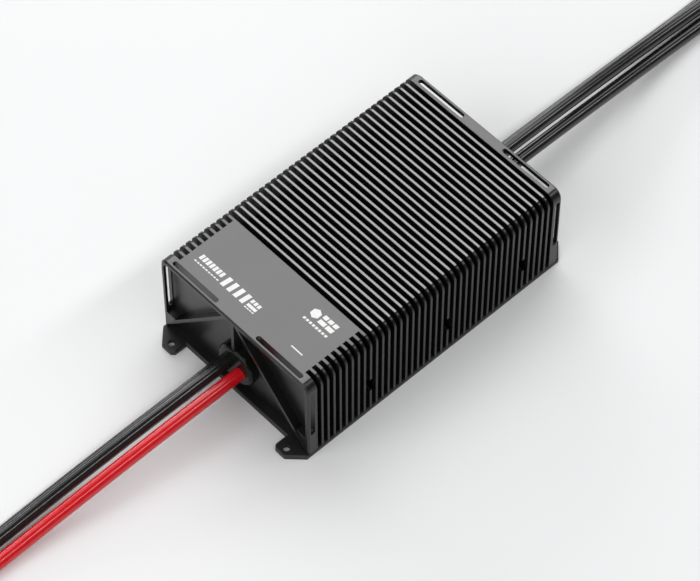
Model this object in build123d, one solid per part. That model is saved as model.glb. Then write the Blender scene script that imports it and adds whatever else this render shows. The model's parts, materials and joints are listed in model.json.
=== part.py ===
from build123d import *
import math
import os

# Electronic speed controller in a finned aluminium case. Millimetres, +Z up.
# Origin: centre of the footprint on the mounting face. The battery leads leave at -Y
# and the motor leads at +Y.

# ---- driving dimensions: case ----
WIDTH = 92.5                    # case width, X
LENGTH = 149.2                  # case length without the ears, Y
HEIGHT = 52.8                   # mounting face to the top of the fins
BASE_T = 2.5                    # base plate thickness
CORNER_R = 5.0                  # rounding of the two long top corners
END_BEVEL = 0.8                 # bevel around each open end

# ---- driving dimensions: fins ----
FIN_PITCH = 3.5
FIN_T = 1.3                     # fin thickness
GROOVES = 40                    # grooves in each side
PLAIN_GROOVES = 9               # of those, the front ones that stop at the flat label field
GROOVE_DEPTH = 7.1

# ---- driving dimensions: end pockets ----
WALL = 2.0                      # case wall thickness
SHROUD_WALL = 1.95              # side wall around each end pocket
SHROUD_TOP = 2.5                # top wall over each end pocket
POCKET_DEPTH = 4.2
END_WALL = 3.0
SLOT_W = 2.4                    # vent slots
SLOT_INSET = 2.6                # slot centre from the end of the case
TOP_SLOT_X = (12.2, 40.2)       # near and far end of each top slot
SIDE_SLOT_Z = (16.3, 47.0)
RIB_T = 1.7
CORNER_BLOCK_Z = 14.0           # top of the block that fills each lower pocket corner

# ---- driving dimensions: mounting ears ----
EAR_SPACING_X = 74.0
EAR_SPACING_Y = 158.0
EAR_HOLE_R = 1.7                # clearance hole for an M3 screw
EAR_REACH = 7.9                 # how far an ear stands past the end of the case
EAR_INNER_X = 32.2
EAR_OUTER_CUT = 6.9             # 45 degree cut at the outer corner
EAR_INNER_CUT = 1.6
EAR_EDGE_BEVEL = 0.5

# ---- driving dimensions: base flanges and side screws ----
FLANGE_T = 3.2
FLANGE_TOP = 26.0
FLANGE_HALF_Y = 62.0
SCREW_FINS = (-11, 2, 15)       # fins that a side screw interrupts, counted from the middle
SCREW_Z = 19.4
SCREW_SLOT_Z = 8.5              # height of the gap milled in the fin
SCREW_R = 1.5
SCREW_HEAD_R = 2.75
SCREW_HEAD_H = 3.0
SCREW_HOLE_R = 1.55

# ---- driving dimensions: grommets and leads ----
GROMMET_R = 10.8
GROMMET_NECK_R = 9.2
GROMMET_OUT = 4.7               # how far a grommet stands out of the end wall
GROMMET_IN = 1.6
GROMMET_ROUND = 2.0             # rounding of the outer rim
INPUT_Z = 20.5                  # height of the input grommet's centre
OUTPUT_Z = 22.2
POWER_R = 3.1                   # 8 AWG silicone lead, 6.2 mm across
SIGNAL_R = 1.2
BULLET_R = 2.75                 # 5.5 mm bullet connectors
CUP_R = 3.5
SLEEVE_R = 4.1

# ---- driving dimensions: electronics ----
CEILING_GAP = 2.3               # metal between the groove floors and the inside
BOARD_T = 1.6
POWER_BOARD_X = 70.0
POWER_BOARD_Y = (-58.0, 58.0)
POST_DROP = 3.9                 # ceiling posts that carry the power board
STACK_GAP = 11.0                # power board to control board
CONTROL_BOARD_X = 58.0
CONTROL_BOARD_Y = (-8.0, 46.0)
BAR_T = 1.5                     # copper bars
BAR_FACE_Y = 56.0               # where the power leads meet their bars
CAP_R = 6.25
CAP_H = 25.0

# ---- derived places ----
half_w = WIDTH / 2
half_l = LENGTH / 2
core_x = half_w - GROOVE_DEPTH                  # bottom of the side grooves
groove_floor = HEIGHT - GROOVE_DEPTH            # bottom of the top grooves
groove_w = FIN_PITCH - FIN_T
first_groove = -FIN_PITCH * (GROOVES - 1) / 2
cavity_x = core_x - WALL
ceiling = groove_floor - CEILING_GAP
end_wall_y = half_l - POCKET_DEPTH              # outer face of each end wall
cavity_y = end_wall_y - END_WALL
pocket_x = half_w - SHROUD_WALL
pocket_top = HEIGHT - SHROUD_TOP
grommet_face = end_wall_y + GROMMET_OUT
board_top = ceiling - POST_DROP
board_bottom = board_top - BOARD_T
control_top = board_bottom - STACK_GAP
control_bottom = control_top - BOARD_T
screw_rows = [n * FIN_PITCH for n in SCREW_FINS]

os.makedirs("parts", exist_ok=True)


def save(name, shape):
    """Write one sub-part as parts/NAME.step."""
    export_step(shape, f"parts/{name}.step")


def block(x0, x1, y0, y1, z0, z1):
    """Axis-aligned box between two corners."""
    centre = ((x0 + x1) / 2, (y0 + y1) / 2, (z0 + z1) / 2)
    return Pos(*centre) * Box(x1 - x0, y1 - y0, z1 - z0)


def rod_z(x, y, z0, z1, radius):
    """Upright cylinder."""
    return Pos(x, y, (z0 + z1) / 2) * Cylinder(radius, z1 - z0)


def rod_y(x, z, y0, y1, radius):
    """Cylinder along Y."""
    return Pos(x, (y0 + y1) / 2, z) * Rot(90, 0, 0) * Cylinder(radius, abs(y1 - y0))


def rod_x(y, z, x0, x1, radius):
    """Cylinder along X."""
    return Pos((x0 + x1) / 2, y, z) * Rot(0, 90, 0) * Cylinder(radius, abs(x1 - x0))


def group(shapes):
    """Several separate solids in one node."""
    return Compound(children=list(shapes))


def both_ends(shape):
    """A shape made at the -Y end, and its mirror image at the +Y end."""
    return [shape, mirror(shape, about=Plane.XZ)]


# ---- case ----
def comb_outline():
    """Plan of the case: a rectangle with the side grooves cut in from both long edges."""
    points = [(half_w, -half_l)]
    for i in range(GROOVES):
        y = first_groove + i * FIN_PITCH
        points.append((half_w, y - groove_w / 2))
        points.append((core_x, y - groove_w / 2))
        points.append((core_x, y + groove_w / 2))
        points.append((half_w, y + groove_w / 2))
    points.append((half_w, half_l))
    left = [(-x, y) for x, y in reversed(points)]
    return make_face(Polyline(*points, *left, close=True))


def end_section(depth):
    """Case cross-section with rounded long top corners, drawn through `depth` along Y."""
    z0, z1 = BASE_T, HEIGHT
    corners = [(-half_w, z0), (half_w, z0), (half_w, z1), (-half_w, z1)]
    outline = Plane.XZ * make_face(Polyline(*corners, close=True))
    solid = extrude(outline, amount=depth / 2, both=True)
    corners = solid.edges().filter_by(Axis.Y).group_by(Axis.Z)[-1]
    return fillet(corners, CORNER_R)


def pocket_ribs(grommet_z):
    """Ribs and lower corner blocks that stand in the -Y pocket, flush with its rim."""
    z0, z1 = BASE_T, pocket_top + 0.4
    reach = pocket_x + 0.4

    def band(x0, za, x1, zb):
        """A rib of constant thickness between two points of the XZ plane."""
        length = math.hypot(x1 - x0, zb - za)
        tilt = math.degrees(math.atan2(zb - za, x1 - x0))
        middle = Pos((x0 + x1) / 2, 0, (za + zb) / 2)
        return middle * Rot(0, -tilt, 0) * Box(length, POCKET_DEPTH + 1.0, RIB_T)

    left = band(-reach, 5.2, -5.0, z1 + 0.6)
    right = band(1.2, z1 + 0.6, reach, 3.6)
    centre = block(-0.6 - RIB_T / 2, -0.6 + RIB_T / 2, -2.6, 2.6, grommet_z + GROMMET_R, z1)
    blocks = []
    for side in (-1, 1):
        wedge = Polyline((side * reach, 5.4), (side * reach, CORNER_BLOCK_Z), (side * 38.6, CORNER_BLOCK_Z),
                         close=True)
        blocks.append(extrude(Plane.XZ * make_face(wedge), amount=(POCKET_DEPTH + 1.0) / 2, both=True))
    pieces = Pos(0, -half_l + POCKET_DEPTH / 2 + 0.1, 0) * (left + right + centre + blocks[0] + blocks[1])
    return pieces & block(-reach, reach, -half_l, -end_wall_y + 0.4, z0, z1)


def vent_slots():
    """Two slots over each pocket and one through each of its side walls."""
    y = -half_l + SLOT_INSET
    x0, x1 = TOP_SLOT_X
    z0, z1 = SIDE_SLOT_Z
    cuts = []
    for side in (-1, 1):
        top = Pos(side * (x0 + x1) / 2, y, HEIGHT) * SlotOverall(x1 - x0, SLOT_W)
        cuts.append(extrude(top, amount=SHROUD_TOP + 1.0, both=True))
        flank = Plane(origin=(side * half_w, y, (z0 + z1) / 2), x_dir=(0, 0, 1), z_dir=(1, 0, 0))
        cuts.append(extrude(flank * SlotOverall(z1 - z0, SLOT_W), amount=SHROUD_WALL + 0.6, both=True))
    return cuts


def screw_pockets():
    """Gap milled in one fin for each side screw, and its hole through the case wall."""
    cuts = []
    width = 2 * groove_w + FIN_T
    for side in (-1, 1):
        for y in screw_rows:
            seat = Plane(origin=(side * (core_x + 10), y, SCREW_Z), x_dir=(0, 0, 1), z_dir=(1, 0, 0))
            cuts.append(extrude(seat * SlotOverall(SCREW_SLOT_Z, width), amount=10, both=True))
            cuts.append(rod_x(y, SCREW_Z, side * (cavity_x - 1), side * (core_x + 1), SCREW_R + 0.2))
    return cuts


def make_housing():
    """Finned case: top, sides and both end walls in one piece, open below."""
    shell = extrude(comb_outline(), amount=HEIGHT + 5) & end_section(LENGTH)
    rim = shell.faces().sort_by(Axis.Y)[0].edges() + shell.faces().sort_by(Axis.Y)[-1].edges()
    bottom = BASE_T + 0.01
    shell = chamfer([e for e in rim if e.center().Z > bottom], END_BEVEL)

    top_grooves = []
    for i in range(PLAIN_GROOVES, GROOVES):
        y = first_groove + i * FIN_PITCH
        top_grooves.append(block(-half_w - 1, half_w + 1, y - groove_w / 2, y + groove_w / 2,
                                 groove_floor, HEIGHT + 1))
    shell = shell - top_grooves

    hollow = block(-cavity_x, cavity_x, -cavity_y, cavity_y, BASE_T - 1, ceiling)
    hollow = fillet(hollow.edges().filter_by(Axis.Z), 3.0)
    pocket = block(-pocket_x, pocket_x, -half_l - 1, -end_wall_y, BASE_T - 1, pocket_top)
    pocket = fillet(pocket.edges().filter_by(Axis.Y).group_by(Axis.Z)[-1], CORNER_R - SHROUD_WALL)
    cuts = [hollow, *both_ends(pocket), *screw_pockets()]
    for slot in vent_slots():
        cuts.extend(both_ends(slot))
    shell = shell - cuts

    shell = shell + [pocket_ribs(INPUT_Z), mirror(pocket_ribs(OUTPUT_Z), about=Plane.XZ)]
    shell = shell - rod_y(0, INPUT_Z, -half_l - 1, -cavity_y + 1, GROMMET_NECK_R)
    shell = shell - rod_y(0, OUTPUT_Z, cavity_y - 1, half_l + 1, GROMMET_NECK_R)

    posts = [rod_z(x, y, board_top, ceiling + 0.5, 3.5) - rod_z(x, y, board_top - 1, ceiling, 1.25)
             for x, y in board_posts()]
    return shell + posts


def board_posts():
    """Places of the ceiling posts and of the screws that hold the power board."""
    return [(x, y) for x in (-30.5, 30.5) for y in (-54.0, -10.3, 53.5)]


# ---- base ----
def ear(side, end):
    """One mounting ear, seen from above, with its outer corner cut off."""
    x0, x1 = EAR_INNER_X, half_w
    y0, y1 = half_l - 4.0, half_l + EAR_REACH
    corner, snip = EAR_OUTER_CUT, EAR_INNER_CUT
    points = [(x0, y0), (x0, y1 - snip), (x0 + snip, y1), (x1 - corner, y1), (x1, y1 - corner), (x1, y0)]
    outline = make_face(Polyline(*[(side * x, end * y) for x, y in points], close=True))
    return extrude(outline, amount=BASE_T, dir=(0, 0, 1))


def make_base():
    """Base plate with four ears, a gasket groove and two upright flanges inside the case."""
    plate = block(-half_w, half_w, -half_l, half_l, 0, BASE_T)
    for side in (-1, 1):
        for end in (-1, 1):
            plate = plate + ear(side, end)
    top = plate.faces().sort_by(Axis.Z)[-1]
    plate = chamfer(top.edges(), EAR_EDGE_BEVEL)
    for side in (-1, 1):
        x = side * (cavity_x - 0.05 - FLANGE_T / 2)
        flange = block(x - FLANGE_T / 2, x + FLANGE_T / 2, -FLANGE_HALF_Y, FLANGE_HALF_Y, BASE_T - 0.5, FLANGE_TOP)
        plate = plate + flange
        plate = plate - [rod_x(y, SCREW_Z, x - 3, x + 3, SCREW_HOLE_R) for y in screw_rows]
    for x in (-EAR_SPACING_X / 2, EAR_SPACING_X / 2):
        for y in (-EAR_SPACING_Y / 2, EAR_SPACING_Y / 2):
            plate = plate - rod_z(x, y, -1, BASE_T + 1, EAR_HOLE_R)
    return plate - gasket_ring(1.2)


def gasket_ring(width):
    """Square-section ring under the case walls, level with the top of the base plate."""
    x = core_x - WALL / 2
    y = cavity_y + END_WALL / 2
    outer = RectangleRounded(2 * x + width, 2 * y + width, 4.0 + width / 2)
    inner = RectangleRounded(2 * x - width, 2 * y - width, 4.0 - width / 2)
    return Pos(0, 0, BASE_T - 0.8) * extrude(outer - inner, amount=0.8)


def make_side_screws():
    """Socket head screws through the case walls into the base flanges."""
    screws = []
    for side in (-1, 1):
        for y in screw_rows:
            seat = side * core_x
            head = rod_x(y, SCREW_Z, seat, seat + side * SCREW_HEAD_H, SCREW_HEAD_R)
            head = chamfer(head.edges().sort_by(Axis.X)[-1 if side > 0 else 0], 0.3)
            key = Plane(origin=(seat + side * SCREW_HEAD_H, y, SCREW_Z), z_dir=(side, 0, 0))
            head = head - extrude(key * RegularPolygon(1.45, 6), amount=-1.6)
            shank = rod_x(y, SCREW_Z, seat - side * (WALL + FLANGE_T + 0.8), seat + side * 0.1, SCREW_R)
            screws.append(head + shank)
    return group(screws)


# ---- grommets ----
def make_grommet(end, z):
    """Round rubber grommet: domed outer flange, neck in the end wall, inner flange."""
    outer, inner = end_wall_y + GROMMET_OUT, cavity_y - GROMMET_IN
    dome = rod_y(0, z, -outer, -end_wall_y, GROMMET_R)
    dome = fillet(dome.edges().filter_by(GeomType.CIRCLE).sort_by(Axis.Y)[0], GROMMET_ROUND)
    neck = rod_y(0, z, -end_wall_y - 0.1, -cavity_y + 0.1, GROMMET_NECK_R)
    flange = rod_y(0, z, -cavity_y, -inner, GROMMET_R)
    grommet = dome + neck + flange
    return grommet if end < 0 else mirror(grommet, about=Plane.XZ)


# ---- boards ----
def make_power_board():
    board = block(-POWER_BOARD_X / 2, POWER_BOARD_X / 2, *POWER_BOARD_Y, board_bottom, board_top)
    board = fillet(board.edges().filter_by(Axis.Z), 2.0)
    return board - [rod_z(x, y, board_bottom - 1, board_top + 1, 1.6) for x, y in board_posts()]


def stack_posts():
    """Places of the spacers between the two boards."""
    return [(x, y) for x in (-25.5, 25.5) for y in (-4.5, 42.5)]


def make_control_board():
    board = block(-CONTROL_BOARD_X / 2, CONTROL_BOARD_X / 2, *CONTROL_BOARD_Y, control_bottom, control_top)
    board = fillet(board.edges().filter_by(Axis.Z), 2.0)
    return board - [rod_z(x, y, control_bottom - 1, control_top + 1, 1.35) for x, y in stack_posts()]


def make_board_screws():
    """Screws that hold the power board up against the ceiling posts."""
    screws = []
    for x, y in board_posts():
        head = rod_z(x, y, board_bottom - 2.0, board_bottom, 2.7)
        head = fillet(head.edges().sort_by(Axis.Z)[0], 0.8)
        screws.append(head + rod_z(x, y, board_bottom - 0.1, board_top + 3.0, 1.2))
    return group(screws)


def make_spacers():
    """Hexagonal spacers between the power board and the control board."""
    spacers = []
    for x, y in stack_posts():
        body = Pos(x, y, control_top) * extrude(RegularPolygon(2.6, 6), amount=STACK_GAP)
        spacers.append(body - rod_z(x, y, control_top - 1, control_top + 7, 1.1))
    return group(spacers)


def make_spacer_screws():
    """Small screws that hold the control board under its spacers."""
    screws = []
    for x, y in stack_posts():
        head = rod_z(x, y, control_bottom - 1.6, control_bottom, 2.2)
        screws.append(head + rod_z(x, y, control_bottom - 0.1, control_top + 5.0, 1.05))
    return group(screws)


# ---- power parts ----
MOSFET_X = [-29.0, -17.4, -5.8, 5.8, 17.4, 29.0]
MOSFET_Y = [0.0, 13.2, 26.4, 39.6]
MOSFET_H = 2.3


def make_mosfets():
    """Power transistors on top of the power board: body, drain tab and source pins."""
    parts = []
    for x in MOSFET_X:
        for y in MOSFET_Y:
            body = block(x - 4.9, x + 4.9, y - 5.2, y + 5.2, board_top, board_top + MOSFET_H)
            body = chamfer(body.faces().sort_by(Axis.Z)[-1].edges(), 0.3)
            tab = block(x - 4.1, x + 4.1, y + 5.1, y + 6.0, board_top, board_top + 0.5)
            pins = [block(x + p - 0.35, x + p + 0.35, y - 6.2, y - 5.1, board_top, board_top + 0.5)
                    for p in (-3.6, -2.4, -1.2, 0.0, 1.2, 2.4, 3.6)]
            parts.append(body + tab + pins)
    return group(parts)


def make_thermal_pad():
    return block(-34.5, 34.5, -6.5, 46.0, board_top + MOSFET_H, ceiling)


def make_capacitors():
    """Bulk capacitors that hang under the input end of the power board."""
    cans = []
    for x in (-27.5, -14.9, 14.9, 27.5):
        for y in (-45.5, -32.5, -19.5):
            can = rod_z(x, y, board_bottom - CAP_H, board_bottom, CAP_R)
            can = fillet(can.edges().filter_by(GeomType.CIRCLE), 0.8)
            waist = rod_z(x, y, board_bottom - 3.6, board_bottom - 2.4, CAP_R + 1)
            waist = waist - rod_z(x, y, board_bottom - 4, board_bottom - 2, CAP_R - 0.45)
            cans.append(can - waist)
    return group(cans)


def input_bar(x0, x1):
    """Copper bar from a battery lead's end up to the power board and along its underside."""
    foot = block(x0, x1, -BAR_FACE_Y, -BAR_FACE_Y + BAR_T, 15.5, board_bottom)
    run = block(x0, x1, -BAR_FACE_Y, 4.0, board_bottom - BAR_T, board_bottom)
    return foot + run


def phase_bar(x0, x1, drop, run_x0, run_x1, run_y0):
    """Copper bar from a motor lead's end up to the power board and along its underside."""
    foot = block(x0, x1, BAR_FACE_Y - BAR_T, BAR_FACE_Y, drop, board_bottom)
    run = block(run_x0, run_x1, run_y0, BAR_FACE_Y, board_bottom - BAR_T, board_bottom)
    return foot + run


def make_shunts():
    """Current-sensing resistors: a metal strip with two end caps."""
    parts = []
    for x in (-11.6, 0.0, 11.6):
        strip = block(x - 3.0, x + 3.0, -12.6, -9.4, board_top + 0.2, board_top + 0.8)
        caps = [block(x + s * 3.2 - 0.6, x + s * 3.2 + 0.6, -12.8, -9.2, board_top, board_top + 1.0) for s in (-1, 1)]
        parts.append(strip + caps)
    return group(parts)


def chip(x, y, wide, deep, high, z, pins, pitch, below=False):
    """Moulded chip with rows of pins on two sides."""
    z0, z1 = (z - high, z) if below else (z, z + high)
    body = block(x - wide / 2, x + wide / 2, y - deep / 2, y + deep / 2, z0, z1)
    foot0, foot1 = (z - 0.3, z) if below else (z, z + 0.3)
    legs = []
    for n in range(pins):
        py = y + (n - (pins - 1) / 2) * pitch
        for s in (-1, 1):
            inner, outer = x + s * (wide / 2 - 0.1), x + s * (wide / 2 + 0.8)
            legs.append(block(min(inner, outer), max(inner, outer), py - pitch / 4, py + pitch / 4, foot0, foot1))
    return body + legs


def make_gate_drivers():
    """Gate driver chips under the power board, one beside each half bridge."""
    return group(chip(x, y, 4.0, 5.0, 1.5, board_bottom, 4, 1.27, below=True)
                 for x in (-20.0, 20.0) for y in (8.0, 20.0, 32.0))


def make_microcontroller():
    body = block(-5.0, 5.0, 15.0, 25.0, control_top + 0.1, control_top + 1.4)
    pins = []
    for n in range(12):
        p = (n - 5.5) * 0.75
        pins.append(block(-5.9, -4.9, 20 + p - 0.18, 20 + p + 0.18, control_top, control_top + 0.3))
        pins.append(block(4.9, 5.9, 20 + p - 0.18, 20 + p + 0.18, control_top, control_top + 0.3))
        pins.append(block(p - 0.18, p + 0.18, 14.1, 15.1, control_top, control_top + 0.3))
        pins.append(block(p - 0.18, p + 0.18, 24.9, 25.9, control_top, control_top + 0.3))
    return body + pins


def make_inductor():
    """Choke of the control supply: square core with bevelled corners."""
    core = block(-22.0, -14.0, 2.0, 10.0, control_top, control_top + 4.0)
    return chamfer(core.edges().filter_by(Axis.Z), 1.2)


def make_board_header():
    """Pin header that joins the control board to the power board."""
    plastic = block(13.0, 15.6, 2.0, 22.4, control_top, control_top + 2.5)
    pins = [block(14.3 - 0.32, 14.3 + 0.32, 3.3 + n * 2.54 - 0.32, 3.3 + n * 2.54 + 0.32,
                  control_top, board_bottom) for n in range(8)]
    return plastic + pins


def make_signal_socket():
    """Socket under the control board's front edge, where the signal lead plugs in."""
    return block(-10.5, -2.5, -7.0, -1.0, control_bottom - 5.0, control_bottom)


# ---- leads ----
FLOOR_R = SLEEVE_R              # height of a power lead's end, lifted by its own sleeve
EXIT = grommet_face             # the leads leave the case at the grommets' outer faces
TAIL_START = cavity_y - GROMMET_IN

POSITIVE_ROUTE = [(4.0, -EXIT, 19.5), (4.0, -98.0, 19.5), (2.55, -126.0, 16.4), (0.25, -154.0, 11.2),
                  (-1.75, -181.0, 6.3), (-2.6, -206.0, 3.5), (-2.2, -228.0, 3.9), (-1.2, -244.0, FLOOR_R)]
NEGATIVE_ROUTE = [(-4.3, -EXIT, 19.5), (-4.3, -98.0, 19.5), (-5.85, -126.0, 16.4), (-8.25, -154.0, 11.2),
                  (-10.25, -181.0, 6.3), (-11.1, -206.0, 3.5), (-10.9, -228.0, 3.9), (-11.6, -244.0, FLOOR_R)]
SIGNAL_ROUTE = [(-8.4, -EXIT, 17.7), (-8.4, -98.0, 17.7), (-9.95, -126.0, 14.6), (-12.35, -154.0, 9.4),
                (-14.35, -181.0, 4.5), (-15.2, -206.0, 1.7), (-16.3, -228.0, 1.3), (-20.5, -244.0, 1.3)]
PHASE_A_ROUTE = [(-4.95, EXIT, 19.5), (-4.95, 98.0, 19.5), (-6.2, 128.0, 16.4), (-8.3, 158.0, 11.6),
                 (-10.4, 188.0, 6.6), (-11.4, 216.0, 3.6), (-11.9, 240.0, 3.7), (-15.5, 260.0, FLOOR_R),
                 (-19.5, 276.0, FLOOR_R)]
PHASE_B_ROUTE = [(0.0, EXIT, 27.6), (0.0, 98.0, 27.6), (-1.7, 128.0, 23.6), (-4.2, 158.0, 17.9),
                 (-6.5, 188.0, 12.3), (-7.4, 216.0, 9.0), (-7.0, 240.0, 8.3), (-5.7, 260.0, 5.0),
                 (-5.4, 276.0, FLOOR_R)]
PHASE_C_ROUTE = [(3.9, EXIT, 19.5), (3.9, 98.0, 19.5), (2.7, 128.0, 16.4), (0.7, 158.0, 11.6),
                 (-1.35, 188.0, 6.6), (-2.3, 216.0, 3.6), (-1.6, 240.0, 3.7), (3.2, 260.0, FLOOR_R),
                 (7.6, 276.0, FLOOR_R)]
SIGNAL_TAIL = [(-8.4, -TAIL_START, 17.7), (-8.4, -55.0, 17.7), (-6.95, -45.0, 20.0), (-6.5, -26.0, 22.8),
               (-6.5, -7.0, 22.8)]


def route_radii(points):
    """Radius at each corner: 0.45 of the shorter run over the tangent of half the turn."""
    radii = []
    for before, here, after in zip(points, points[1:], points[2:]):
        run_in = Vector(*here) - Vector(*before)
        run_out = Vector(*after) - Vector(*here)
        turn = math.radians(run_in.get_angle(run_out))
        radii.append(0.45 * min(run_in.length, run_out.length) / math.tan(turn / 2))
    return radii


def make_lead(name, points, radius):
    """Round lead swept along straight runs joined by tangent arcs."""
    radii = route_radii(points)
    path = FilletPolyline(*points, radius=radii)
    start = Plane(origin=path @ 0, z_dir=path % 0)
    lead = sweep(start * Circle(radius), path=path)
    ideal = math.pi * radius ** 2 * path.length
    print(f"{name}: length {path.length:.1f} mm, volume ratio {lead.volume / ideal:.4f}, "
          f"radii {', '.join(f'{r:.0f}' for r in radii)}")
    return lead


def end_frame(points):
    """Plane at a route's last point: its Z runs on along the lead, its X points up."""
    heading = Vector(*points[-1]) - Vector(*points[-2])
    return Plane(origin=points[-1], x_dir=(0, 0, 1), z_dir=heading)


def make_bullet(points):
    """Bullet connector: solder cup against the lead's end, collar, and a split pin."""
    at = end_frame(points)
    cup = extrude(at * Circle(CUP_R), amount=8.0)
    collar = extrude(at.offset(8.0) * Circle(CUP_R + 0.3), amount=1.2)
    pin = extrude(at.offset(9.0) * Circle(BULLET_R), amount=13.0)
    pin = fillet(pin.edges().filter_by(GeomType.CIRCLE).sort_by(Axis(at.origin, at.z_dir))[-1], 1.4)
    split = extrude(at.offset(12.0) * Rectangle(0.5, 2 * BULLET_R + 1), amount=8.0)
    return cup + collar + pin - split


def make_sleeve(points):
    """Heat-shrink sleeve over the solder cup."""
    at = end_frame(points)
    return extrude(at * (Circle(SLEEVE_R) - Circle(CUP_R)), amount=8.0)


def make_signal_plug(points):
    """Three-way plug body, with a polarising rib along one edge."""
    at = end_frame(points)
    body = extrude(at * Rectangle(2.6, 7.8), amount=14.0)
    body = chamfer(body.edges().filter_by(Axis(at.origin, at.z_dir)), 0.3)
    windows = [extrude(at.offset(14.0) * Pos(0, p) * Rectangle(1.1, 1.1), amount=-6.0) for p in (-2.54, 0, 2.54)]
    return body - windows


def make_signal_contacts(points):
    """The three metal contacts inside the signal plug."""
    at = end_frame(points)
    return group(extrude(at.offset(8.0) * Pos(0, p) * Rectangle(0.9, 0.9), amount=5.0) for p in (-2.54, 0, 2.54))


def inner_tail(route, stop):
    """Straight stretch of a power lead inside the case, from its grommet to its copper bar."""
    x, y, z = route[0]
    end = math.copysign(1, y)
    return rod_y(x, z, end * TAIL_START, end * stop, POWER_R)


# ---- write every sub-part ----
save("housing_shell", make_housing())
save("base_plate", make_base())
save("base_gasket", gasket_ring(1.2))
save("side_screws", make_side_screws())
save("input_grommet", make_grommet(-1, INPUT_Z))
save("output_grommet", make_grommet(1, OUTPUT_Z))
save("power_board", make_power_board())
save("control_board", make_control_board())
save("power_board_screws", make_board_screws())
save("board_spacers", make_spacers())
save("control_board_screws", make_spacer_screws())
save("mosfets", make_mosfets())
save("thermal_pad", make_thermal_pad())
save("capacitors", make_capacitors())
save("positive_bus_bar", input_bar(1.2, 7.8))
save("negative_bus_bar", input_bar(-6.0, -0.8))
save("phase_bar_a", phase_bar(-8.6, -2.6, 16.0, -27.0, -2.6, 49.0))
save("phase_bar_b", phase_bar(-2.2, 2.2, 24.5, -2.2, 2.2, 30.0))
save("phase_bar_c", phase_bar(2.6, 8.6, 16.0, 2.6, 27.0, 49.0))
save("current_shunts", make_shunts())
save("gate_drivers", make_gate_drivers())
save("microcontroller", make_microcontroller())
save("supply_inductor", make_inductor())
save("supply_regulator", chip(-18.0, 16.0, 4.0, 5.0, 1.5, control_top, 4, 1.27))
save("board_header", make_board_header())
save("signal_socket", make_signal_socket())

save("positive_lead_tail", inner_tail(POSITIVE_ROUTE, BAR_FACE_Y))
save("negative_lead_tail", inner_tail(NEGATIVE_ROUTE, BAR_FACE_Y))
save("signal_lead_tail", make_lead("signal tail", SIGNAL_TAIL, SIGNAL_R))
save("phase_lead_tails", group(inner_tail(route, BAR_FACE_Y)
                               for route in (PHASE_A_ROUTE, PHASE_B_ROUTE, PHASE_C_ROUTE)))

POWER_LEADS = {"positive": POSITIVE_ROUTE, "negative": NEGATIVE_ROUTE, "phase_a": PHASE_A_ROUTE,
               "phase_b": PHASE_B_ROUTE, "phase_c": PHASE_C_ROUTE}
for lead_name, lead_route in POWER_LEADS.items():
    save(f"{lead_name}_lead", make_lead(lead_name, lead_route, POWER_R))
    save(f"{lead_name}_bullet", make_bullet(lead_route))
    save(f"{lead_name}_sleeve", make_sleeve(lead_route))
save("signal_lead", make_lead("signal", SIGNAL_ROUTE, SIGNAL_R))
save("signal_plug", make_signal_plug(SIGNAL_ROUTE))
save("signal_contacts", make_signal_contacts(SIGNAL_ROUTE))
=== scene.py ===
import json
import math

import bmesh
import bpy
from mathutils import Matrix, Vector


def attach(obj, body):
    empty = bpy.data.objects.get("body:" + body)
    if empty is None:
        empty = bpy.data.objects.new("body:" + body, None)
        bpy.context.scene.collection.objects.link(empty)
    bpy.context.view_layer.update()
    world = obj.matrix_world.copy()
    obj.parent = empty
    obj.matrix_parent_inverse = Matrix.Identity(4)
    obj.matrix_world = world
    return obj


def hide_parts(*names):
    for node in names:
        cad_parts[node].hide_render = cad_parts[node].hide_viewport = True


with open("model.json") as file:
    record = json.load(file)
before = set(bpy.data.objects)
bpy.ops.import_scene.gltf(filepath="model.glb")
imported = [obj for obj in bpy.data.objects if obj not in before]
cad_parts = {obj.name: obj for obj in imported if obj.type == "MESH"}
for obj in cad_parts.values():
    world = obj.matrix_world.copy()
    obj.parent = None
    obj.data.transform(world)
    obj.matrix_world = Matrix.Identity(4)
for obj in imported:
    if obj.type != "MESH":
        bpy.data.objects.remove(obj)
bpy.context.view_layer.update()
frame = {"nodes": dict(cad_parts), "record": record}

scene = bpy.context.scene
MM = 0.001

# ---- view and studio ----
LENS_MM = 171.8
SENSOR_MM = 36
CLIP_M = (0.05, 20)
YAW_DEG = 46.888                # turn of the camera about Z, from looking along +Y
PITCH_DEG = 54.920              # height of the camera above the horizon
TARGET_RIGHT_MM = -5.390        # where the view's middle meets the plane through the origin
TARGET_UP_MM = 2.026
CAMERA_DISTANCE_MM = 1468.8

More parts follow.
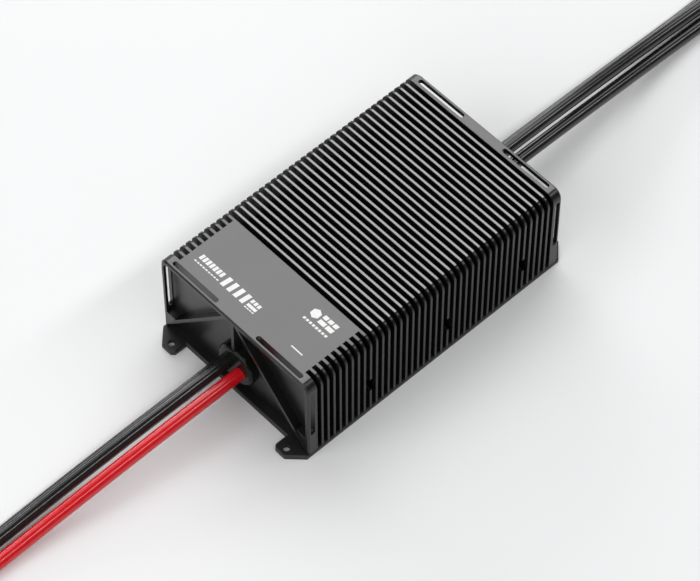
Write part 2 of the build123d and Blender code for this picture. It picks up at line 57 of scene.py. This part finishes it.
# ---- leads: the same route points as the CAD tubes, in millimetres ----
EXIT = 75.1                     # outer face of each grommet
FLOOR_R = 4.1                   # height of a lead's middle where its sleeve lies on the floor
POWER_D = 6.2
SIGNAL_D = 2.4
CURVE_STEPS = 24                # divisions of a lead between one route point and the next
RING_STEPS = 10                 # bevel resolution: how finely a lead is divided round its section
ROUTES = {
    "positive": [(4.0, -EXIT, 19.5), (4.0, -98, 19.5), (2.55, -126, 16.4), (0.25, -154, 11.2),
                 (-1.75, -181, 6.3), (-2.6, -206, 3.5), (-2.2, -228, 3.9), (-1.2, -244, FLOOR_R)],
    "negative": [(-4.3, -EXIT, 19.5), (-4.3, -98, 19.5), (-5.85, -126, 16.4), (-8.25, -154, 11.2),
                 (-10.25, -181, 6.3), (-11.1, -206, 3.5), (-10.9, -228, 3.9), (-11.6, -244, FLOOR_R)],
    "signal": [(-8.4, -EXIT, 17.7), (-8.4, -98, 17.7), (-9.95, -126, 14.6), (-12.35, -154, 9.4),
               (-14.35, -181, 4.5), (-15.2, -206, 1.7), (-16.3, -228, 1.3), (-20.5, -244, 1.3)],
    "phase_a": [(-4.95, EXIT, 19.5), (-4.95, 98, 19.5), (-6.2, 128, 16.4), (-8.3, 158, 11.6),
                (-10.4, 188, 6.6), (-11.4, 216, 3.6), (-11.9, 240, 3.7), (-15.5, 260, FLOOR_R),
                (-19.5, 276, FLOOR_R)],
    "phase_b": [(0.0, EXIT, 27.6), (0.0, 98, 27.6), (-1.7, 128, 23.6), (-4.2, 158, 17.9),
                (-6.5, 188, 12.3), (-7.4, 216, 9.0), (-7.0, 240, 8.3), (-5.7, 260, 5.0),
                (-5.4, 276, FLOOR_R)],
    "phase_c": [(3.9, EXIT, 19.5), (3.9, 98, 19.5), (2.7, 128, 16.4), (0.7, 158, 11.6),
                (-1.35, 188, 6.6), (-2.3, 216, 3.6), (-1.6, 240, 3.7), (3.2, 260, FLOOR_R),
                (7.6, 276, FLOOR_R)],
}


# ---- camera ----
def camera_axes():
    """Right, up and back directions of the view."""
    a, e = math.radians(YAW_DEG), math.radians(PITCH_DEG)
    right = Vector((math.cos(a), math.sin(a), 0))
    back = Vector((math.sin(a) * math.cos(e), -math.cos(a) * math.cos(e), math.sin(e)))
    return right, back.cross(right), back


def make_camera():
    right, up, back = camera_axes()
    data = bpy.data.cameras.new("view")
    data.lens = LENS_MM
    data.sensor_width = SENSOR_MM
    data.clip_start, data.clip_end = CLIP_M
    camera = bpy.data.objects.new("view", data)
    place = (right * TARGET_RIGHT_MM + up * TARGET_UP_MM + back * CAMERA_DISTANCE_MM) * MM
    turn = Matrix((right, up, back)).transposed().to_4x4()
    camera.matrix_world = Matrix.Translation(place) @ turn
    scene.collection.objects.link(camera)
    scene.camera = camera


make_camera()


# ---- material building ----
MIDDLE = (0.3, 0.7)             # most of a noise's values lie between these
BEVEL_SAMPLES = 4
MIX_LOW, MIX_HIGH = 6, 7        # the colour sockets of a Mix node
MIX_OUT = 2
GRAIN_GLOSS = 0.03              # how far fine grain shifts a finish's roughness


class Shade:
    """One node-based material around a Principled shader."""

    def __init__(self, name):
        self.material = bpy.data.materials.new(name)
        self.material.use_nodes = True
        self.tree = self.material.node_tree
        self.shader = self.tree.nodes["Principled BSDF"]
        self.coords = self.add("ShaderNodeTexCoord").outputs["Object"]
        self.bumps = None

    def add(self, kind, **settings):
        node = self.tree.nodes.new(kind)
        for key, value in settings.items():
            setattr(node, key, value)
        return node

    def join(self, source, target):
        self.tree.links.new(source, target)

    def set(self, **values):
        for key, value in values.items():
            socket = self.shader.inputs[key.replace("_", " ")]
            socket.default_value = (*value, 1) if isinstance(value, tuple) else value

    def noise(self, size_mm, detail=2.0, rough=0.5, stretch=(1, 1, 1)):
        """Noise whose features are about size_mm across, from 0 to 1."""
        scale = self.add("ShaderNodeVectorMath", operation="MULTIPLY")
        self.join(self.coords, scale.inputs[0])
        scale.inputs[1].default_value = [s * 1000 / size_mm for s in stretch]
        node = self.add("ShaderNodeTexNoise")
        node.inputs["Scale"].default_value = 1.0
        node.inputs["Detail"].default_value = detail
        node.inputs["Roughness"].default_value = rough
        self.join(scale.outputs[0], node.inputs["Vector"])
        return node.outputs["Fac"]

    def span(self, value, low, high, to_low=0.0, to_high=1.0):
        node = self.add("ShaderNodeMapRange", clamp=True)
        node.inputs["From Min"].default_value = low
        node.inputs["From Max"].default_value = high
        node.inputs["To Min"].default_value = to_low
        node.inputs["To Max"].default_value = to_high
        self.join(value, node.inputs["Value"])
        return node.outputs["Result"]

    def math(self, operation, a, b):
        node = self.add("ShaderNodeMath", operation=operation)
        for value, socket in zip((a, b), node.inputs):
            if isinstance(value, (int, float)):
                socket.default_value = value
            else:
                self.join(value, socket)
        return node.outputs[0]

    def mix(self, factor, low, high):
        """Colour mix: low where factor is 0 and high where it is 1."""
        node = self.add("ShaderNodeMix", data_type="RGBA")
        self.join(factor, node.inputs["Factor"])
        for value, socket in ((low, node.inputs[MIX_LOW]), (high, node.inputs[MIX_HIGH])):
            if isinstance(value, tuple):
                socket.default_value = (*value, 1)
            else:
                self.join(value, socket)
        return node.outputs[MIX_OUT]

    def colour(self, source):
        self.join(source, self.shader.inputs["Base Color"])

    def roughness(self, source):
        self.join(source, self.shader.inputs["Roughness"])

    def soft_edges(self, radius_mm):
        """Shade sharp edges as if broken by a small radius."""
        node = self.add("ShaderNodeBevel", samples=BEVEL_SAMPLES)
        node.inputs["Radius"].default_value = radius_mm * MM
        self.bumps = node.outputs["Normal"]

    def bump(self, height, depth_mm, strength=1.0):
        node = self.add("ShaderNodeBump")
        node.inputs["Strength"].default_value = strength
        node.inputs["Distance"].default_value = depth_mm * MM
        self.join(height, node.inputs["Height"])
        if self.bumps:
            self.join(self.bumps, node.inputs["Normal"])
        self.bumps = node.outputs["Normal"]
        self.join(self.bumps, self.shader.inputs["Normal"])


def two_tone(name, dark, light, grain_mm, rough, bump_mm, metallic=0.0, specular=0.5, patch_mm=14.0,
             edge_mm=0.0):
    """General finish: soft colour patches, fine grain in the bump and a varied gloss."""
    m = Shade(name)
    m.set(Metallic=metallic, Specular_IOR_Level=specular)
    patches = m.noise(patch_mm, 3.0)
    m.colour(m.mix(m.span(patches, *MIDDLE), dark, light))
    grain = m.noise(grain_mm, 1.0)
    gloss = m.span(patches, *MIDDLE, *rough)
    m.roughness(m.math("ADD", gloss, m.span(grain, 0.0, 1.0, -GRAIN_GLOSS, GRAIN_GLOSS)))
    if edge_mm:
        m.soft_edges(edge_mm)
    m.bump(grain, bump_mm)
    return m


# ---- materials ----
LABEL_END_Y = -37.85 * MM       # the fins start here, behind the flat label field
FINS_END_Y = 69.2 * MM          # and end here, before the plain rear band
FIN_TOP_Z = 52.65 * MM
FIN_PITCH = 3.5 * MM            # fins stand at whole multiples of this along Y
CREST_FULL = 0.36 * MM          # a crest keeps its whole painted highlight this far from the fin's middle
CREST_END = 0.60 * MM           # and has faded out here
SIDE_X = 41.0 * MM              # beyond this the fins turn down the sides
CASE_EDGE_MM = 0.3              # shaded radius of the case's sharp edges
CASE_DARK = (0.005, 0.005, 0.0055)
CASE_LIGHT = (0.008, 0.008, 0.0085)
FIELD_GREY = (0.165, 0.165, 0.167)
# painted highlight: the lighter grey given to the fin crests
CREST_HIGHLIGHT_GREY = (0.36, 0.36, 0.362)
CASE_SHINE, GROOVE_SHINE = 0.45, 0.08
CASE_ROUGH = (0.30, 0.36)
FIELD_ROUGHER, CREST_SMOOTHER = 0.06, 0.04


def case_material():
    """Black anodised, bead-blasted aluminium; flat top bands lighter grey; painted highlight on fin crests.
    """
    m = Shade("case_aluminium")
    place = m.add("ShaderNodeSeparateXYZ")
    m.join(m.coords, place.inputs[0])
    on_top = m.span(place.outputs["Z"], FIN_TOP_Z - 0.05 * MM, FIN_TOP_Z)
    behind = m.span(place.outputs["Y"], LABEL_END_Y - 0.3 * MM, LABEL_END_Y)
    from_middle = m.math("ABSOLUTE", place.outputs["Y"], 0.0)
    along = m.span(from_middle, FINS_END_Y, FINS_END_Y + 0.2 * MM, 1.0, 0.0)
    finned = m.math("MULTIPLY", behind, along)
    field = m.math("MULTIPLY", on_top, m.math("SUBTRACT", 1.0, finned))
    from_fin = m.math("PINGPONG", place.outputs["Y"], FIN_PITCH / 2)
    crest = m.span(from_fin, CREST_FULL, CREST_END, 1.0, 0.0)
    # mask of the painted highlight on the fin crests
    crest_highlight = m.math("MULTIPLY", m.math("MULTIPLY", on_top, finned), crest)
    beside = m.span(m.math("ABSOLUTE", place.outputs["X"], 0.0), SIDE_X, SIDE_X + 0.5 * MM)
    flank = m.math("MULTIPLY", m.math("MULTIPLY", beside, along), m.math("SUBTRACT", 1.0, crest))
    m.join(m.span(flank, 0.0, 1.0, CASE_SHINE, GROOVE_SHINE), m.shader.inputs["Specular IOR Level"])
    patches = m.noise(20.0, 3.0)
    blast = m.noise(0.16, 2.0)
    base = m.mix(m.span(patches, *MIDDLE), CASE_DARK, CASE_LIGHT)
    base = m.mix(field, base, FIELD_GREY)
    # painted highlight: the fin crests turn lighter grey
    base = m.mix(crest_highlight, base, CREST_HIGHLIGHT_GREY)
    m.colour(base)
    rough = m.span(patches, *MIDDLE, *CASE_ROUGH)
    rough = m.math("ADD", rough, m.math("MULTIPLY", field, FIELD_ROUGHER))
    rough = m.math("SUBTRACT", rough, m.math("MULTIPLY", crest_highlight, CREST_SMOOTHER))
    rough = m.math("ADD", rough, m.span(blast, *MIDDLE, -GRAIN_GLOSS, GRAIN_GLOSS))
    m.roughness(rough)
    m.soft_edges(CASE_EDGE_MM)
    m.bump(blast, 0.006, 0.6)
    return m


SILICONE_SHINE = 0.62
SILICONE_ROUGH = (0.16, 0.21)
DRAWN_GLOSS = 0.02


def silicone(name, dark, light):
    """Soft silicone insulation: smooth, slightly dusty, with faint extrusion marks."""
    m = Shade(name)
    m.set(Specular_IOR_Level=SILICONE_SHINE)
    dust = m.noise(3.0, 4.0, 0.6)
    m.colour(m.mix(m.span(dust, 0.35, 0.75), dark, light))
    drawn = m.noise(0.7, 2.0, 0.5, (1, 0.06, 1))
    gloss = m.span(dust, *MIDDLE, *SILICONE_ROUGH)
    m.roughness(m.math("ADD", gloss, m.span(drawn, 0.2, 0.8, -DRAWN_GLOSS, DRAWN_GLOSS)))
    m.bump(drawn, 0.006, 0.4)
    return m


TRACK_SCALE = 400               # how closely the brick pattern repeats
TRACK_WIDTH = 0.03              # its mortar lines stand for the copper tracks
MASK_GREEN = (0.006, 0.045, 0.022)
TRACK_GREEN = (0.012, 0.085, 0.040)
WEAVE_GREEN = (0.02, 0.09, 0.05)


def board_material():
    """Green solder mask over faint copper tracks on glass-epoxy laminate."""
    m = Shade("circuit_board")
    m.set(Specular_IOR_Level=0.5)
    brick = m.add("ShaderNodeTexBrick")
    scale = m.add("ShaderNodeVectorMath", operation="MULTIPLY")
    m.join(m.coords, scale.inputs[0])
    scale.inputs[1].default_value = (TRACK_SCALE, TRACK_SCALE, TRACK_SCALE)
    m.join(scale.outputs[0], brick.inputs["Vector"])
    brick.inputs["Mortar Size"].default_value = TRACK_WIDTH
    tracks = m.mix(brick.outputs["Fac"], MASK_GREEN, TRACK_GREEN)
    weave = m.noise(0.5, 2.0)
    m.colour(m.mix(m.span(weave, 0.35, 0.8, 0.0, 0.35), tracks, WEAVE_GREEN))
    m.roughness(m.span(weave, 0.2, 0.8, 0.28, 0.4))
    m.bump(brick.outputs["Fac"], 0.03, 0.6)
    return m


MATERIALS = {
    "case_aluminium": case_material(),
    "base_aluminium": two_tone("base_aluminium", (0.008, 0.008, 0.009), (0.013, 0.013, 0.014), 0.16,
                               (0.42, 0.50), 0.006, specular=0.45),
    "black_steel": two_tone("black_steel", (0.012, 0.012, 0.013), (0.022, 0.021, 0.022), 0.3,
                            (0.30, 0.42), 0.004, 0.6, patch_mm=2.0),
    "plated_steel": two_tone("plated_steel", (0.50, 0.50, 0.47), (0.62, 0.62, 0.60), 0.3,
                             (0.25, 0.40), 0.004, 1.0, patch_mm=2.0),
    "gasket_rubber": two_tone("gasket_rubber", (0.012, 0.012, 0.012), (0.022, 0.022, 0.022), 0.3,
                              (0.62, 0.72), 0.02, patch_mm=6.0),
    "grommet_rubber": two_tone("grommet_rubber", (0.004, 0.005, 0.004), (0.008, 0.010, 0.008), 0.6,
                               (0.14, 0.22), 0.01, specular=0.16, patch_mm=4.0, edge_mm=0.9),
    "red_silicone": silicone("red_silicone", (0.60, 0.007, 0.013), (0.66, 0.011, 0.018)),
    "black_silicone": silicone("black_silicone", (0.010, 0.010, 0.010), (0.016, 0.016, 0.016)),
    "circuit_board": board_material(),
    "chip_epoxy": two_tone("chip_epoxy", (0.016, 0.016, 0.017), (0.026, 0.026, 0.027), 0.2,
                           (0.50, 0.60), 0.01, patch_mm=3.0),
    "copper": two_tone("copper", (0.62, 0.27, 0.14), (0.80, 0.42, 0.26), 0.4, (0.28, 0.42), 0.006, 1.0),
    "gold_plate": two_tone("gold_plate", (0.80, 0.56, 0.20), (0.92, 0.68, 0.30), 0.3, (0.16, 0.26),
                           0.003, 1.0, patch_mm=4.0),
    "capacitor_can": two_tone("capacitor_can", (0.50, 0.51, 0.53), (0.62, 0.63, 0.65), 0.5, (0.25, 0.38),
                              0.006, 0.9),
    "resistor_alloy": two_tone("resistor_alloy", (0.30, 0.29, 0.28), (0.42, 0.41, 0.40), 0.3,
                               (0.38, 0.50), 0.006, 1.0, patch_mm=3.0),
    "thermal_pad": two_tone("thermal_pad", (0.30, 0.36, 0.42), (0.38, 0.44, 0.50), 0.5, (0.6, 0.75), 0.02),
    "ferrite": two_tone("ferrite", (0.05, 0.05, 0.055), (0.08, 0.08, 0.085), 0.2, (0.55, 0.68), 0.015),
    "red_sleeve": two_tone("red_sleeve", (0.42, 0.008, 0.014), (0.52, 0.014, 0.022), 0.8, (0.34, 0.46),
                           0.03, patch_mm=5.0),
    "black_sleeve": two_tone("black_sleeve", (0.010, 0.010, 0.010), (0.018, 0.018, 0.018), 0.8,
                             (0.34, 0.46), 0.03, patch_mm=5.0),
    "plug_plastic": two_tone("plug_plastic", (0.012, 0.012, 0.013), (0.020, 0.020, 0.021), 0.25,
                             (0.42, 0.52), 0.012, patch_mm=4.0),
    "print_ink": two_tone("print_ink", (0.80, 0.80, 0.79), (0.88, 0.88, 0.87), 0.2, (0.40, 0.50), 0.004,
                          patch_mm=3.0),
}


def dress(obj, slot):
    obj.data.materials.clear()
    obj.data.materials.append(MATERIALS[slot].material)


for entry in frame["record"]["subparts"]:
    dress(frame["nodes"][entry["node"]], entry["material_slot"])


# ---- leads ----
def make_lead(name, points, diameter):
    """One smooth lead along its route."""
    curve = bpy.data.curves.new(name, "CURVE")
    curve.dimensions = "3D"
    spline = curve.splines.new("NURBS")
    spline.points.add(len(points) - 1)
    for point, (x, y, z) in zip(spline.points, points):
        point.co = (x * MM, y * MM, z * MM, 1)
    spline.order_u = 3
    spline.use_endpoint_u = True
    curve.resolution_u = CURVE_STEPS
    curve.bevel_depth = diameter / 2 * MM
    curve.bevel_resolution = RING_STEPS
    curve.use_fill_caps = True
    lead = bpy.data.objects.new(name, curve)
    scene.collection.objects.link(lead)
    return lead


for name, points in ROUTES.items():
    thin = name == "signal"
    diameter = SIGNAL_D if thin else POWER_D
    slot = "red_silicone" if name == "positive" else "black_silicone"
    lead = make_lead(f"{name}_wire", points, diameter)
    dress(lead, slot)
    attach(lead, "root")
    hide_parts(f"{name}_lead")


# ---- printed marks: plain tiles standing for the maker's print ----
PRINT_Z = 52.81                 # just clear of the label field
PRINT_THICK = 0.03
PRINT_LEAN = 0.12               # sideways lean of the tiles for each millimetre of height
PRINT_ROWS = [                  # x from, x to, y low, y high, tiles, gap
    (-34.6, -20.3, -62.8, -60.0, 7, 0.55),
    (-35.1, -20.1, -65.0, -64.35, 9, 0.5),
    (-18.4, -4.2, -65.2, -59.8, 4, 1.7),
    (-2.9, 2.6, -62.2, -60.3, 3, 0.5),
    (-2.9, 2.6, -64.4, -62.9, 1, 0.0),
    (-2.9, 2.6, -65.6, -65.0, 4, 0.4),
    (23.9, 32.3, -45.6, -43.5, 3, 0.6),
    (23.9, 32.3, -48.6, -46.4, 2, 0.6),
    (18.0, 32.3, -51.5, -50.3, 8, 0.6),
    (25.3, 32.1, -64.8, -64.2, 1, 0.0),
]
EMBLEM_CENTRE = (20.5, -46.05)
EMBLEM_R = 2.6


def add_prism(mesh, outline):
    """Flat raised shape over an outline in millimetres, wound counter-clockwise."""
    lower = [mesh.verts.new((x * MM, y * MM, PRINT_Z * MM)) for x, y in outline]
    upper = [mesh.verts.new((x * MM, y * MM, (PRINT_Z + PRINT_THICK) * MM)) for x, y in outline]
    mesh.faces.new(upper)
    mesh.faces.new(lower[::-1])
    for i in range(len(outline)):
        j = (i + 1) % len(outline)
        mesh.faces.new((lower[i], lower[j], upper[j], upper[i]))


def make_print():
    mesh = bmesh.new()
    for x0, x1, y0, y1, count, gap in PRINT_ROWS:
        width = (x1 - x0 - gap * (count - 1)) / count
        lean = (y1 - y0) / 2 * PRINT_LEAN
        for k in range(count):
            left = x0 + k * (width + gap)
            add_prism(mesh, [(left - lean, y0), (left + width - lean, y0), (left + width + lean, y1),
                             (left + lean, y1)])
    centre_x, centre_y = EMBLEM_CENTRE
    corners = [math.radians(30 + 60 * k) for k in range(6)]
    add_prism(mesh, [(centre_x + EMBLEM_R * math.cos(a), centre_y + EMBLEM_R * math.sin(a)) for a in corners])
    data = bpy.data.meshes.new("label_print")
    mesh.to_mesh(data)
    mesh.free()
    marks = bpy.data.objects.new("label_print", data)
    scene.collection.objects.link(marks)
    dress(marks, "print_ink")
    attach(marks, "root")


make_print()


# ---- studio: pale floor and soft lights ----
FLOOR_HALF_M = 6.0
PAPER_PATCH_MM = 400.0
PAPER_DARK = (0.860, 0.865, 0.870)
PAPER_LIGHT = (0.880, 0.885, 0.890)
WORLD_STRENGTH = 0.06
UP = (0, 0, 1)
# name, direction, distance and size in metres, watts, and the way the second size lies
LIGHTS = [
    ("overhead", (-0.42, 0.39, 0.82), 1.5, (1.6, 1.1), 13, UP),
    ("strip", (0.50, 0.33, 0.80), 1.7, (0.20, 2.3), 11, (0, 1, 0)),
    ("wall", (-0.86, 0.32, 0.36), 2.0, (0.34, 1.7), 12, (0.1, 1.25, -0.41)),
    ("fill", (0.10, -0.8, 0.55), 1.6, (2.0, 1.4), 18, UP),
]


def make_floor():
    mesh = bpy.data.meshes.new("floor")
    half = FLOOR_HALF_M
    corners = [(-half, -half, 0), (half, -half, 0), (half, half, 0), (-half, half, 0)]
    mesh.from_pydata(corners, [], [(0, 1, 2, 3)])
    floor = bpy.data.objects.new("floor", mesh)
    scene.collection.objects.link(floor)
    m = Shade("floor_paper")
    m.set(Specular_IOR_Level=0.15, Roughness=0.7)
    paper = m.noise(PAPER_PATCH_MM, 2.0)
    m.colour(m.mix(m.span(paper, *MIDDLE), PAPER_DARK, PAPER_LIGHT))
    mesh.materials.append(m.material)


def make_softbox(name, toward, distance, size, power, along):
    """Rectangular soft light facing the origin from `toward`, its second size lying along `along`."""
    data = bpy.data.lights.new(name, "AREA")
    data.shape = "RECTANGLE"
    data.size, data.size_y = size
    data.energy = power
    lamp = bpy.data.objects.new(name, data)
    z = Vector(toward).normalized()
    y = Vector(along)
    y = (y - z * z.dot(y)).normalized()
    turn = Matrix((y.cross(z), y, z)).transposed().to_4x4()
    lamp.matrix_world = Matrix.Translation(z * distance) @ turn
    scene.collection.objects.link(lamp)


def make_lights():
    for light in LIGHTS:
        make_softbox(*light)
    world = bpy.data.worlds.new("studio")
    world.use_nodes = True
    sky = world.node_tree.nodes["Background"]
    sky.inputs["Color"].default_value = (1.0, 1.0, 1.0, 1)
    sky.inputs["Strength"].default_value = WORLD_STRENGTH
    scene.world = world
    scene.view_settings.view_transform = "Standard"


make_floor()
make_lights()
